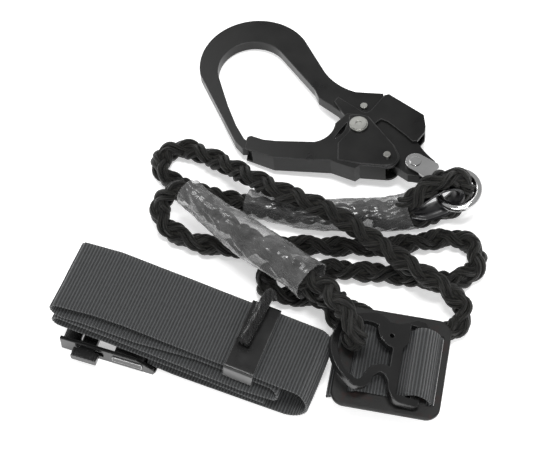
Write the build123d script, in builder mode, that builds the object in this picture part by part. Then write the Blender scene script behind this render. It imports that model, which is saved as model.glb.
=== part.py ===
"""Waist-belt work-positioning set with a rope lanyard, laid out on a flat surface.

A scaffold hook on a swivel, a plaited rope with two spliced eyes, and a waist belt with its D-ring,
back plate, keeper, hook hanger and slide-lock buckle.  Millimetres, +Z up, resting on Z = 0.
"""
import math
import os

from build123d import *

# ---------------------------------------------------------------- driving dimensions
# scaffold hook
PLATE_T = 8.0            # forged hook body thickness; its crown fits a 48.6 mm scaffold tube
SHEET_T = 1.6            # gate and lever sheet steel
PIVOT_R = 4.0            # main pivot rivet shank
RUN_GAP = 0.05           # radial running clearance of every pivot
SMALL_RIVET_R = 1.8
SMALL_HEAD_R = 2.7
HOOK_TILT = 4.9          # the swivel end is held up by the rope's eye
HOOK_TILT_DIR = (0.819, -0.574)

# swivel
CLEVIS_R = 6.6
CLEVIS_CHEEK_T = 2.5
STEM_ANGLE = -36.0       # direction of the swivel stem in the hook's own plane
BOW_R = 13.2             # centre-line radius of the swivel's ring
BOW_WIRE_R = 2.8
BOW_REACH = 33.5         # clevis pin to ring centre

# rope
ROPE_R = 7.0
EYE_HALF_WIDTH = 14.0    # centre of an eye to the centre of each leg
EYE_LEAN = 75.0          # lean of the hook-end eye's plane from the swivel ring's plane
THIMBLE_WALL = 1.0
SLEEVE_WALL = 0.8
HOOK_SLEEVE_R = 11.0     # outside of the shrink sleeve on the hook-end splice
BELT_SLEEVE_R = 11.6

# belt
WEB_W = 46.0
WEAVE_W = 47.0           # width of the webbing where it is woven through the back plate
WEB_T = 2.0
PLATE_LEVEL = 14.8       # the back plate lies across the rope
BACK_PLATE_T = 2.6
D_RING_T = 5.0
D_RING_REST = 16.0       # the rope's eye under the bow holds it up by this much
KEEPER_W = 19.0
KEEPER_T = 1.8
CORD_R = 1.7

# ---------------------------------------------------------------- frames
tilt = math.radians(HOOK_TILT)
hook_normal = (-HOOK_TILT_DIR[0] * math.sin(tilt), -HOOK_TILT_DIR[1] * math.sin(tilt), math.cos(tilt))
HOOK = Plane(origin=(58.1, 57.5, 16.0), x_dir=(1, 0, 0), z_dir=hook_normal)
CLEVIS_PIN = (36.5, -31.0)                       # in the hook's plane
stem = math.radians(STEM_ANGLE)
stem_dir = HOOK.x_dir * math.cos(stem) + HOOK.y_dir * math.sin(stem)
SWIVEL = Plane(origin=HOOK.from_local_coords((*CLEVIS_PIN, 0)), x_dir=stem_dir, z_dir=HOOK.z_dir)
BELT = Plane(origin=(-120.88, -40.14, 0), x_dir=(0.932, -0.361, 0), z_dir=(-0.361, -0.932, 0))
BACK = Plane(origin=(75.1, -114.8, 0), x_dir=(0.982, -0.190, 0), z_dir=(0, 0, 1))
BUCKLE = Plane(origin=(-135.4, -96.6, 0), x_dir=(0.950, -0.312, 0), z_dir=(0, 0, 1))

# brings the middle of the laid-out set's box over the origin and its underside down to zero
CENTRING = (-1.07, -1.219, -0.2)

os.makedirs("parts", exist_ok=True)


def smooth_arcs(points):
    """Draw one smooth line through the points as pairs of circular arcs that meet in line."""
    ways = []
    for before, here, after in zip(points, points[1:], points[2:]):
        back = here - before
        ahead = after - here
        way = back * (ahead.length / back.length) + ahead * (back.length / ahead.length)
        ways.append(way.normalized())
    first = (points[1] - points[0]).normalized()
    last = (points[-1] - points[-2]).normalized()
    ways.insert(0, (first * (2 * ways[0].dot(first)) - ways[0]).normalized())
    ways.append((last * (2 * ways[-1].dot(last)) - ways[-1]).normalized())
    for start, end, way_1, way_2 in zip(points, points[1:], ways, ways[1:]):
        chord = end - start
        spread = 1 - way_1.dot(way_2)
        lean_sum = chord.dot(way_1 + way_2)
        if spread < 1e-6:
            reach = chord.dot(chord) / (2 * lean_sum)
        else:
            root = math.sqrt(lean_sum ** 2 + 2 * spread * chord.dot(chord))
            reach = (root - lean_sum) / (2 * spread)
        knee_1 = start + way_1 * reach
        knee_2 = end - way_2 * reach
        middle = (knee_1 + knee_2) * 0.5
        for a, b, way in ((start, middle, way_1), (middle, end, (knee_2 - knee_1).normalized())):
            if (b - a).normalized().cross(way).length < 1e-4:
                Line(a, b)
            else:
                TangentArc(a, b, tangent=way)


def cord_along(points, radius, bore=0.0):
    """A round cord, or a tube when it has a bore, along a smooth line through the points."""
    with BuildPart() as cord:
        with BuildLine() as line:
            smooth_arcs(points)
        path = line.wires()[0]
        with BuildSketch(Plane(origin=path @ 0, z_dir=path % 0)):
            Circle(radius)
            if bore > 0:
                Circle(bore, mode=Mode.SUBTRACT)
        sweep(path=path)
    return cord.part


def save(part, name):
    """Label the part, centre it with the rest of the set over the origin, and write it."""
    placed = part.moved(Location(CENTRING))
    placed.label = name
    export_step(placed, "parts/" + name + ".step")


# ================================================================ scaffold hook
# ---------------------------------------------------------------- hook body
SPRING_POCKET_R = 8.2
SPRING_POCKET_D = 1.9
LEVER_STOP = (4.0, 18.5)
GATE_STOP = (18.0, -26.2)

with BuildPart() as hook_body:
    with BuildSketch(HOOK.offset(-PLATE_T / 2)):
        with BuildLine():
            # outside: nose, crown, spine
            Polyline((-74.6, -12.4), (-78.6, -12.4), (-83.7, -5.8), (-108.5, 53.0))
            ThreePointArc((-108.5, 53.0), (-80.0, 98.1), (-35.6, 79.5))
            Line((-35.6, 79.5), (-23.6, 53.5))
            ThreePointArc((-23.6, 53.5), (-14.2, 39.8), (-1.0, 31.4))
            # back edge, cut away under the lever's grip
            Polyline((-1.0, 31.4), (17.6, 29.0), (17.6, 16.0), (33.0, 3.0), (38.4, -12.3))
            ThreePointArc((38.4, -12.3), (41.8, -19.2), (49.6, -29.5))
            # square shank end and the lower prong
            Polyline((49.6, -29.5), (38.6, -41.2), (31.0, -39.7), (25.0, -34.5), (20.6, -31.0))
            # stop notch for the gate's rivet, then the clear arc it swings through
            ThreePointArc((20.6, -31.0), (20.6, -26.2), (18.0, -23.8))
            ThreePointArc((18.0, -23.8), (4.0, -29.2), (-11.0, -27.3))
            # curved flank beside the gate, then the inside of the mouth
            ThreePointArc((-11.0, -27.3), (-15.4, -12.0), (-9.0, 5.0))
            Polyline((-9.0, 5.0), (-8.5, 11.8), (-16.5, 19.2), (-26.7, 28.2), (-29.3, 35.5),
                     (-51.3, 68.5))
            ThreePointArc((-51.3, 68.5), (-74.0, 79.9), (-95.6, 50.0))
            Polyline((-95.6, 50.0), (-88.7, 24.1), (-83.0, 7.2), (-77.5, -4.4), (-74.6, -7.0),
                     (-74.6, -12.4))
        make_face()
    extrude(amount=PLATE_T)
    # pivot, stop rivet and clevis pin holes
    with BuildSketch(HOOK.offset(-PLATE_T)):
        Circle(PIVOT_R + RUN_GAP)
        with Locations(LEVER_STOP):
            Circle(SMALL_RIVET_R)
        with Locations(CLEVIS_PIN):
            Circle(3.0 + RUN_GAP)
    extrude(amount=2 * PLATE_T, mode=Mode.SUBTRACT)
    # a shallow round pocket for a spring on each face, each with a channel for the spring's leg
    for face_level, channel_angle in ((PLATE_T / 2 - SPRING_POCKET_D, 205.0), (-PLATE_T / 2, 40.0)):
        with BuildSketch(HOOK.offset(face_level)):
            Circle(SPRING_POCKET_R)
            with Locations(Location((0, 0), channel_angle)):
                with Locations((SPRING_POCKET_R, 0)):
                    Rectangle(12.0, 3.0)
        extrude(amount=SPRING_POCKET_D, mode=Mode.SUBTRACT)
save(hook_body.part, "hook_body")

# ---------------------------------------------------------------- safety lever
LEVER_IN = PLATE_T / 2 + 0.15
with BuildPart() as safety_lever:
    for level in (LEVER_IN, -LEVER_IN - SHEET_T):
        with BuildSketch(HOOK.offset(level)):
            with BuildLine():
                Polyline((-9.0, 0.0), (-8.4, 9.0), (-14.0, 18.5), (-16.0, 23.0), (-13.2, 26.5), (1.0, 14.6))
                ThreePointArc((1.0, 14.6), (5.0, 12.4), (9.2, 14.6))
                Polyline((9.2, 14.6), (18.2, 26.2), (21.3, 27.1), (44.1, 8.0), (44.8, -1.7), (44.0, -6.0),
                         (38.6, -13.4), (35.2, -13.5), (30.8, -8.1), (19.7, 3.6), (15.2, 6.2), (9.0, 1.0))
                ThreePointArc((9.0, 1.0), (0.0, -9.0), (-9.0, 0.0))
            make_face()
            Circle(PIVOT_R + RUN_GAP, mode=Mode.SUBTRACT)
        extrude(amount=SHEET_T)
    with BuildSketch(HOOK.offset(-LEVER_IN - SHEET_T)):
        with BuildLine():
            # the back of the grip joins the two cheeks
            Polyline((20.2, 26.8), (21.3, 27.1), (44.1, 8.0), (44.8, -1.7), (44.0, -6.0), (42.4, -5.4),
                     (43.1, -1.7), (42.5, 7.2), (21.0, 25.2), (20.2, 26.8))
        make_face()
    extrude(amount=2 * (LEVER_IN + SHEET_T))
save(safety_lever.part, "safety_lever")

# ---------------------------------------------------------------- gate
GATE_IN = LEVER_IN + SHEET_T + 0.15
GATE_PAD_T = 0.7


def gate_outline():
    """The closed outline shared by the gate's cheeks and by its web."""
    Line((-76.5, -14.4), (-75.5, -8.2))
    ThreePointArc((-75.5, -8.2), (-74.5, -5.5), (-71.8, -5.0))
    Polyline((-71.8, -5.0), (-64.4, -8.3), (-55.6, -9.9), (-30.0, -12.0))
    ThreePointArc((-30.0, -12.0), (-22.4, -8.8), (-15.7, 2.6))
    Polyline((-15.7, 2.6), (-7.6, 10.6), (0.0, 9.5), (7.0, 7.2), (23.5, -18.4), (25.0, -22.9))
    ThreePointArc((25.0, -22.9), (24.2, -32.6), (17.2, -35.5))
    Polyline((17.2, -35.5), (-0.6, -33.0), (-3.8, -35.4), (-19.5, -27.9), (-57.7, -23.5), (-76.5, -14.4))


with BuildPart() as gate:
    for level in (GATE_IN, -GATE_IN - SHEET_T):
        with BuildSketch(HOOK.offset(level)):
            with BuildLine():
                gate_outline()
            make_face()
            Circle(PIVOT_R + RUN_GAP, mode=Mode.SUBTRACT)
            with Locations(GATE_STOP):
                Circle(SMALL_RIVET_R, mode=Mode.SUBTRACT)
            with BuildLine():
                # crescent window beside the pivot
                ThreePointArc((-7.6, 3.2), (-12.8, -3.2), (-17.0, -10.4))
                ThreePointArc((-17.0, -10.4), (-10.6, -5.0), (-7.6, 3.2))
            make_face(mode=Mode.SUBTRACT)
        extrude(amount=SHEET_T)
    # the pressed step that raises the pivot half of each cheek
    for level in (GATE_IN + SHEET_T, -GATE_IN - SHEET_T - GATE_PAD_T):
        with BuildSketch(HOOK.offset(level)):
            with BuildLine():
                Polyline((-6.0, 8.6), (0.0, 9.0), (6.4, 7.0), (22.5, -18.0), (24.0, -23.0))
                ThreePointArc((24.0, -23.0), (23.2, -31.8), (16.8, -34.2))
                Polyline((16.8, -34.2), (-0.4, -31.6), (-14.6, -27.6), (-14.0, -14.0), (-6.0, -4.0),
                         (-6.0, 8.6))
            make_face()
            Circle(PIVOT_R + RUN_GAP, mode=Mode.SUBTRACT)
            with Locations(GATE_STOP):
                Circle(SMALL_RIVET_R, mode=Mode.SUBTRACT)
        extrude(amount=GATE_PAD_T)
    # the web along the mouth side joins the two cheeks
    with BuildSketch(HOOK.offset(-GATE_IN - SHEET_T)):
        with BuildLine():
            gate_outline()
        make_face()
        offset(amount=-SHEET_T, mode=Mode.SUBTRACT)
        with BuildLine():
            Polyline((-73.6, -1.0), (-71.8, -8.0), (-50.0, -15.0), (-26.0, -17.0), (-18.6, -4.0),
                     (-30.0, 0.0), (-73.6, -1.0))
        make_face(mode=Mode.INTERSECT)
    extrude(amount=2 * (GATE_IN + SHEET_T))
    # the web along the outer side makes the arm a box open towards the hook's nose
    with BuildSketch(HOOK.offset(-GATE_IN - SHEET_T)):
        with BuildLine():
            gate_outline()
        make_face()
        offset(amount=-SHEET_T, mode=Mode.SUBTRACT)
        with BuildLine():
            Polyline((-72.0, -12.0), (-58.0, -19.0), (-20.0, -23.0), (-3.0, -29.0), (16.5, -30.0),
                     (16.5, -40.0), (-72.0, -40.0), (-72.0, -12.0))
        make_face(mode=Mode.INTERSECT)
    extrude(amount=2 * (GATE_IN + SHEET_T))
save(gate.part, "gate")

# ---------------------------------------------------------------- rivets of the hook
HEAD_BASE = GATE_IN + SHEET_T + GATE_PAD_T + 0.1
with BuildPart() as main_pivot_rivet:
    with BuildSketch(HOOK.offset(-HEAD_BASE)):
        Circle(PIVOT_R)
    extrude(amount=2 * HEAD_BASE)
    for level, up in ((HEAD_BASE, 1), (-HEAD_BASE, -1)):
        with BuildSketch(HOOK.offset(level)):
            Circle(6.2)
        extrude(amount=1.4 * up)
        with BuildSketch(HOOK.offset(level + 1.4 * up)):
            Circle(5.4)
            Circle(2.0, mode=Mode.SUBTRACT)
        extrude(amount=0.7 * up)
save(main_pivot_rivet.part, "main_pivot_rivet")

with BuildPart() as lever_stop_rivet:
    with BuildSketch(HOOK.offset(-PLATE_T / 2)):
        with Locations(LEVER_STOP):
            Circle(SMALL_RIVET_R)
    extrude(amount=PLATE_T)
    for level, up in ((PLATE_T / 2, 1), (-PLATE_T / 2, -1)):
        with BuildSketch(HOOK.offset(level)):
            with Locations(LEVER_STOP):
                Circle(SMALL_HEAD_R)
        extrude(amount=1.5 * up, taper=12)
save(lever_stop_rivet.part, "lever_stop_rivet")

with BuildPart() as gate_stop_rivet:
    with BuildSketch(HOOK.offset(-GATE_IN - SHEET_T - GATE_PAD_T)):
        with Locations(GATE_STOP):
            Circle(SMALL_RIVET_R)
    extrude(amount=2 * (GATE_IN + SHEET_T + GATE_PAD_T))
    for level, up in ((GATE_IN + SHEET_T + GATE_PAD_T, 1), (-GATE_IN - SHEET_T - GATE_PAD_T, -1)):
        with BuildSketch(HOOK.offset(level)):
            with Locations(GATE_STOP):
                Circle(SMALL_HEAD_R)
        extrude(amount=1.4 * up, taper=12)
save(gate_stop_rivet.part, "gate_stop_rivet")

# ---------------------------------------------------------------- return springs in the pockets
SPRING_WIRE = 0.8
SPRING_R = 6.2


def return_spring(level, leg_angle):
    """One flat coil round the pivot with a straight leg lying in its channel."""
    centre = HOOK.from_local_coords((0, 0, level))
    turn = math.radians(leg_angle)
    out = HOOK.x_dir * math.cos(turn) + HOOK.y_dir * math.sin(turn)
    along = HOOK.z_dir.cross(out)
    with BuildPart() as spring:
        with BuildSketch(Plane(origin=centre + out * SPRING_R, x_dir=out, z_dir=along)):
            Circle(SPRING_WIRE / 2)
        revolve(axis=Axis(centre, HOOK.z_dir), revolution_arc=330)
        with BuildSketch(Plane(origin=centre + out * SPRING_R, x_dir=along, z_dir=out)):
            Circle(SPRING_WIRE / 2)
        extrude(amount=5.5)
    return spring.part


save(return_spring(PLATE_T / 2 - SPRING_POCKET_D / 2, 205.0), "gate_return_spring")
save(return_spring(-PLATE_T / 2 + SPRING_POCKET_D / 2, 40.0), "lever_return_spring")

# ================================================================ swivel
CLEVIS_GAP = PLATE_T / 2 + 0.2
CLEVIS_OUT = CLEVIS_GAP + CLEVIS_CHEEK_T
BRIDGE_IN = 12.4
BRIDGE_OUT = 15.6
STEM_R = 3.0
with BuildPart() as swivel_clevis:
    with BuildSketch(SWIVEL.offset(-CLEVIS_OUT)):
        with BuildLine():
            ThreePointArc((0, CLEVIS_R), (-CLEVIS_R, 0), (0, -CLEVIS_R))
            Polyline((0, -CLEVIS_R), (BRIDGE_OUT - 2, -CLEVIS_R), (BRIDGE_OUT, -CLEVIS_R + 2),
                     (BRIDGE_OUT, CLEVIS_R - 2), (BRIDGE_OUT - 2, CLEVIS_R), (0, CLEVIS_R))
        make_face()
    extrude(amount=2 * CLEVIS_OUT)
    with BuildSketch(SWIVEL.offset(-CLEVIS_GAP)):
        with Locations(((BRIDGE_IN - 20) / 2, 0)):
            Rectangle(BRIDGE_IN + 20, 4 * CLEVIS_R)
    extrude(amount=2 * CLEVIS_GAP, mode=Mode.SUBTRACT)
    with BuildSketch(SWIVEL.offset(-CLEVIS_OUT)):
        Circle(3.0)
    extrude(amount=2 * CLEVIS_OUT, mode=Mode.SUBTRACT)
    with BuildSketch(Plane(origin=SWIVEL.from_local_coords((BRIDGE_IN - 1, 0, 0)), x_dir=SWIVEL.z_dir,
                           z_dir=stem_dir)):
        Circle(STEM_R + RUN_GAP)
    extrude(amount=BRIDGE_OUT - BRIDGE_IN + 2, mode=Mode.SUBTRACT)
save(swivel_clevis.part, "swivel_clevis")

with BuildPart() as clevis_pin:
    with BuildSketch(SWIVEL.offset(-CLEVIS_OUT)):
        Circle(3.0)
    extrude(amount=2 * CLEVIS_OUT)
    for level, up in ((CLEVIS_OUT, 1), (-CLEVIS_OUT, -1)):
        with BuildSketch(SWIVEL.offset(level)):
            Circle(4.0)
        extrude(amount=0.8 * up, taper=20)
save(clevis_pin.part, "clevis_pin")

# the eye lies in the plane of the stem and of the rope's pull, so it is turned on its stem
RING_CENTRE = SWIVEL.from_local_coords((BOW_REACH, 0, 0))
SLEEVE_MOUTH = Vector(92.0, -5.0, 17.0)          # where the hook-end splice leaves its sleeve
pull = (RING_CENTRE - SLEEVE_MOUTH).normalized()
ring_normal = stem_dir.cross(pull).normalized()
if ring_normal.Z < 0:
    ring_normal = ring_normal * -1
RING = Plane(origin=RING_CENTRE, x_dir=stem_dir, z_dir=ring_normal)
with BuildPart() as swivel_eye:
    with BuildSketch(Plane(origin=RING.from_local_coords((BOW_R, 0, 0)), x_dir=RING.x_dir,
                           z_dir=RING.y_dir)):
        Circle(BOW_WIRE_R)
    revolve(axis=Axis(RING_CENTRE, ring_normal), revolution_arc=360)
    # collar, stem and the head that holds the stem inside the clevis
    with BuildSketch(Plane(origin=SWIVEL.from_local_coords((10.4, 0, 0)), x_dir=SWIVEL.z_dir,
                           z_dir=stem_dir)):
        Circle(4.0)
    extrude(amount=1.8)
    with BuildSketch(Plane(origin=SWIVEL.from_local_coords((12.0, 0, 0)), x_dir=SWIVEL.z_dir,
                           z_dir=stem_dir)):
        Circle(STEM_R)
    extrude(amount=5.0)
    with BuildSketch(Plane(origin=SWIVEL.from_local_coords((BRIDGE_OUT + 0.2, 0, 0)), x_dir=SWIVEL.z_dir,
                           z_dir=stem_dir)):
        Circle(5.4)
    extrude(amount=5.2, taper=9)
save(swivel_eye.part, "swivel_eye")

# ================================================================ rope and its fittings
# the hook-end eye stands in a plane that holds the pull and leans against the swivel's ring
across = (stem_dir - pull * stem_dir.dot(pull)).normalized()
lift = across.cross(pull).normalized()
if lift.Z < 0:
    lift = lift * -1
lean = math.radians(EYE_LEAN)
eye_up = lift * math.sin(lean) - across * math.cos(lean)
EYE_MID = RING_CENTRE - pull * EYE_HALF_WIDTH


def eye_point(along, up):
    """A point in the hook-end eye's plane, measured from the centre of its round end."""
    return EYE_MID + pull * along + eye_up * up


hook_eye_points = [
    eye_point(-14.5, -9.2), eye_point(-9.0, -11.2), eye_point(-2.0, -13.3), eye_point(6.5, -12.5),
    eye_point(12.1, -7.0), eye_point(14.0, 0.0), eye_point(12.1, 7.0), eye_point(6.5, 12.4),
    eye_point(-2.0, 13.4), eye_point(-11.0, 10.6), eye_point(-20.0, 7.2)]
sleeve_1_points = [Vector(*p) for p in (
    (80, -4.5, 14.2), (64, -5, 12.4), (47, -6, 11.6), (18, -4, 11.5), (-3, 0, 11.4))]
# the loose coils between the two splices, in the order the rope runs
coil_points = [Vector(*p) for p in (
    (-30, 8, 8.8), (-54, 16, 7.8), (-68, 24, 7.6), (-75.5, 34, 7.6), (-73, 44.5, 7.6), (-62, 49, 8.2),
    (-46, 43, 10), (-30, 31, 15), (-12, 14, 25), (4, 1, 31.5), (22, -8, 32.5), (40, -17, 31.5),
    (57, -29, 29), (75, -42, 26), (90, -53, 24.5), (103, -61, 22.5), (113, -67.5, 18.5),
    (120.5, -75.5, 13), (118, -85.5, 9), (104, -90, 7.7), (82, -88, 7.5), (64, -81, 7.5),
    (42, -69.5, 7.6), (20, -64.4, 7.6), (5, -62.6, 7.6), (-2.6, -59.2, 7.6), (-5.2, -52.8, 7.6),
    (-2.6, -46.4, 7.6), (5, -43, 7.6), (22, -43, 7.6), (50, -45, 7.6), (79, -48, 7.6), (101, -52, 7.6),
    (117, -52, 7.6), (129, -46, 7.6), (133, -36, 7.6), (129, -25, 7.6), (116, -20.5, 7.6),
    (99, -23, 7.6), (80, -26, 7.6), (50, -27, 7.6), (1, -26, 7.6), (-25, -28, 7.6), (-46, -25, 7.6),
    (-62, -18, 7.8), (-72.5, -9, 9.5), (-74, 1, 14.5), (-66, 7, 21), (-55, 2, 27))]
sleeve_2_points = [Vector(*p) for p in (
    (-43, -11, 30), (-30, -23, 31.5), (-15, -35, 31.7), (1, -47, 31.7), (14, -57, 31.5),
    (22.5, -64.5, 33))]


def belt_eye_point(along, up):
    """A point in the upright plane of the belt-end eye, measured from the bow bar that it wraps."""
    return BOW_BAR + BELT_EYE_DIR * along + Vector(0, 0, up)


BOW_BAR = Vector(45.3, -98.5, 35.5)
BELT_EYE_DIR = Vector(0.473, -0.881, 0)
belt_eye_points = [
    belt_eye_point(-27.0, 3.2), belt_eye_point(-13.0, 9.6), belt_eye_point(-1.0, 12.6),
    belt_eye_point(7.8, 9.4), belt_eye_point(11.6, 1.2), belt_eye_point(8.2, -7.4),
    belt_eye_point(-1.0, -10.7),
    belt_eye_point(-11.0, -11.0), belt_eye_point(-21.0, -11.6)]

rope_points = hook_eye_points + sleeve_1_points + coil_points + sleeve_2_points + belt_eye_points
save(cord_along(rope_points, ROPE_R), "rope")
save(cord_along(sleeve_1_points, HOOK_SLEEVE_R, HOOK_SLEEVE_R - SLEEVE_WALL), "hook_end_sleeve")
save(cord_along(sleeve_2_points, BELT_SLEEVE_R, BELT_SLEEVE_R - SLEEVE_WALL), "belt_end_sleeve")

# ---------------------------------------------------------------- thimble
THIMBLE_R = EYE_HALF_WIDTH - ROPE_R - 0.8
THIMBLE_NECK = -12.5
EYE = Plane(origin=EYE_MID, x_dir=pull, z_dir=pull.cross(eye_up))
THIMBLE_HALF = 4.4
with BuildPart() as hook_thimble:
    with BuildSketch(EYE.offset(-THIMBLE_HALF)):
        with BuildLine():
            ThreePointArc((0, THIMBLE_R), (THIMBLE_R, 0), (0, -THIMBLE_R))
            Polyline((0, -THIMBLE_R), (THIMBLE_NECK, -0.8), (THIMBLE_NECK, 0.8), (0, THIMBLE_R))
        make_face()
        offset(amount=-THIMBLE_WALL, mode=Mode.SUBTRACT)
    extrude(amount=2 * THIMBLE_HALF)
save(hook_thimble.part, "hook_thimble")

# ================================================================ belt
# ---------------------------------------------------------------- folded webbing, seen edge-on
with BuildPart() as belt_webbing:
    with BuildSketch(BELT):
        with BuildLine():
            Spline((64.6, 7.0), (80.0, 4.2), (94.0, 3.6), tangents=((1, -0.25), (1, 0)))
            Line((94.0, 3.6), (156.0, 3.6))
            ThreePointArc((156.0, 3.6), (170.0, 14.9), (158.0, 25.2))
            Spline((158.0, 25.2), (124.0, 28.3), (70.0, 33.0), (4.0, 38.2),
                   tangents=((-1, 0.1), (-1, 0.05)))
            ThreePointArc((4.0, 38.2), (0.6, 34.4), (4.0, 30.6))
            Spline((4.0, 30.6), (70.0, 27.0), (148.0, 20.6), tangents=((1, -0.05), (1, -0.1)))
            ThreePointArc((148.0, 20.6), (150.6, 17.6), (148.0, 14.6))
            Spline((148.0, 14.6), (70.0, 22.6), (6.0, 27.4), tangents=((-1, 0.12), (-1, 0.05)))
            ThreePointArc((6.0, 27.4), (1.6, 23.0), (6.0, 18.6))
            Spline((6.0, 18.6), (70.0, 15.4), (144.0, 9.4), tangents=((1, -0.05), (1, -0.1)))
        trace(line_width=WEB_T)
    extrude(amount=WEB_W)
save(belt_webbing.part, "belt_webbing")

# ---------------------------------------------------------------- back plate and its webbing
SLOT_IN_X = -22.9
SLOT_OUT_X = 26.0
SLOT_W = 5.0
SLOT_L = WEAVE_W + 2.0
BACK_PLATE_TOP = PLATE_LEVEL + BACK_PLATE_T
with BuildPart() as back_plate:
    with BuildSketch(BACK.offset(PLATE_LEVEL)):
        with Locations((-1.2, -1.0)):
            RectangleRounded(68.0, 69.0, 9.0)
    extrude(amount=BACK_PLATE_T)
    # two slots for the webbing
    with BuildSketch(BACK.offset(PLATE_LEVEL)):
        with Locations((SLOT_IN_X, -2.0), (SLOT_OUT_X, -2.0)):
            RectangleRounded(SLOT_W, SLOT_L, 1.2)
    extrude(amount=BACK_PLATE_T, mode=Mode.SUBTRACT)
    rim = back_plate.faces().sort_by(Axis.Z)[-1].outer_wire().edges()
    chamfer(rim, length=0.8)
save(back_plate.part, "back_plate")

BAR_B_X = 15.8
BAR_B_Z = BACK_PLATE_TOP + 4.0
BAR_R = 3.0
WEAVE = Plane(origin=BACK.from_local_coords((0, -2.0 + WEAVE_W / 2, 0)), x_dir=BACK.x_dir,
              z_dir=-BACK.y_dir)
UNDER = PLATE_LEVEL - 1.3
OVER = BACK_PLATE_TOP + 1.2
weave_points = [Vector(*p) for p in (
    (-38, 1.8), (-30, 6.5), (-22, 12.2), (-14, UNDER), (5, UNDER), (20.5, UNDER), (24.6, UNDER + 0.9),
    (SLOT_OUT_X + 0.1, 16.4), (25.6, 19.2), (21.8, 24.2), (BAR_B_X, BAR_B_Z + 5.0), (11.2, BAR_B_Z + 2.6),
    (9.8, BAR_B_Z - 0.6), (7.2, OVER + 0.5), (2.5, OVER), (-6, OVER), (-18.6, OVER), (-22.2, 17.6),
    (-23.2, 15.8), (-24.4, 13.6), (-28, 11), (-38, 5.0))]
with BuildPart() as plate_webbing:
    with BuildSketch(WEAVE):
        with BuildLine():
            smooth_arcs(weave_points)
        trace(line_width=WEB_T * 0.9)
    extrude(amount=WEAVE_W)
save(plate_webbing.part, "plate_webbing")

# ---------------------------------------------------------------- D-ring
rest = math.radians(D_RING_REST)
d_x_dir = BACK.x_dir * math.cos(rest) - Vector(0, 0, 1) * math.sin(rest)
d_normal = BACK.x_dir * math.sin(rest) + Vector(0, 0, 1) * math.cos(rest)
D_RING = Plane(origin=BACK.from_local_coords((BAR_B_X, 0, BAR_B_Z)), x_dir=d_x_dir, z_dir=d_normal)
with BuildPart() as d_ring:
    with BuildSketch(D_RING.offset(-D_RING_T / 2)):
        with BuildLine():
            # bow, from the dip beside the upper lobe round past the notch to the lower lobe
            smooth_arcs([Vector(*p) for p in (
                (-23.2, 19.4), (-29.0, 22.4), (-42.0, 20.0), (-52.6, 12.8), (-58.2, 0.0), (-57.0, -11.6),
                (-46.4, -25.4), (-36.8, -29.7), (-31.0, -26.6), (-27.4, -18.4), (-23.4, -15.6),
                (-19.6, -18.4), (-17.3, -25.4), (-14.1, -30.1), (-8.3, -32.1))])
            Line((-8.3, -32.1), (0.0, -32.1))
            ThreePointArc((0.0, -32.1), (2.1, -31.2), (BAR_R, -29.1))
            Line((BAR_R, -29.1), (BAR_R, 22.4))
            smooth_arcs([Vector(*p) for p in (
                (BAR_R, 22.4), (0.6, 25.4), (-4.4, 26.1), (-12.6, 22.3), (-18.2, 19.8), (-23.2, 19.4))])
        make_face()
        with BuildLine():
            # opening of the bow, bounded on the right by the lobe and the first ladder bar
            smooth_arcs([Vector(*p) for p in (
                (-30.4, 15.4), (-41.0, 15.0), (-49.6, 9.6), (-53.9, -1.0), (-51.8, -12.2), (-42.0, -23.2),
                (-37.2, -24.6), (-34.9, -21.8), (-32.0, -15.2), (-26.4, -11.0), (-18.9, -10.4))])
            Line((-18.9, -10.4), (-18.9, 3.0))
            ThreePointArc((-18.9, 3.0), (-27.4, 7.0), (-30.4, 15.4))
        make_face(mode=Mode.SUBTRACT)
        with BuildLine():
            # slot between the two ladder bars; the lobe bulges into its top
            Polyline((-12.6, -27.1), (-BAR_R, -27.1), (-BAR_R, 22.0), (-9.7, 22.0), (-9.7, 9.0),
                     (-12.6, 4.4), (-12.6, -27.1))
        make_face(mode=Mode.SUBTRACT)
        with Locations((-20.9, 10.7)):
            Circle(1.5, mode=Mode.SUBTRACT)
    extrude(amount=D_RING_T)
save(d_ring.part, "d_ring")

# ---------------------------------------------------------------- belt keeper
# it wraps the two upper layers, so it leans with them
KEEPER_S = 124.5
KEEPER_MID = 25.85
KEEPER_ROOM = 10.3
KEEPER_LEAN = math.radians(5.1)
KEEPER_SIDE = Plane(origin=BELT.from_local_coords((KEEPER_S, KEEPER_MID, 0)), x_dir=BELT.z_dir,
                    z_dir=BELT.y_dir * math.sin(KEEPER_LEAN) - BELT.x_dir * math.cos(KEEPER_LEAN))
with BuildPart() as belt_keeper:
    with BuildSketch(KEEPER_SIDE.offset(-KEEPER_W / 2)):
        with Locations((WEB_W / 2, 0)):
            RectangleRounded(WEB_W + 0.8 + 2 * KEEPER_T, KEEPER_ROOM + 2 * KEEPER_T, 2.2)
            RectangleRounded(WEB_W + 0.8, KEEPER_ROOM, 0.6, mode=Mode.SUBTRACT)
    extrude(amount=KEEPER_W)
save(belt_keeper.part, "belt_keeper")

# ---------------------------------------------------------------- hook hanger: a cord bound on the keeper
hanger_points = [Vector(*p) for p in (
    (-18.5, -112.5, 38.2), (-12, -100, 38.4), (-6, -86, 38.2), (-2.6, -78, 35.6), (-1.2, -73.6, 29.5),
    (-1.0, -72.8, 22))]
save(cord_along(hanger_points, CORD_R * 2), "hanger_cord")
save(cord_along(hanger_points[:3], CORD_R * 2 + 1.1, CORD_R * 2 + 0.6), "hanger_sleeve")

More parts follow.
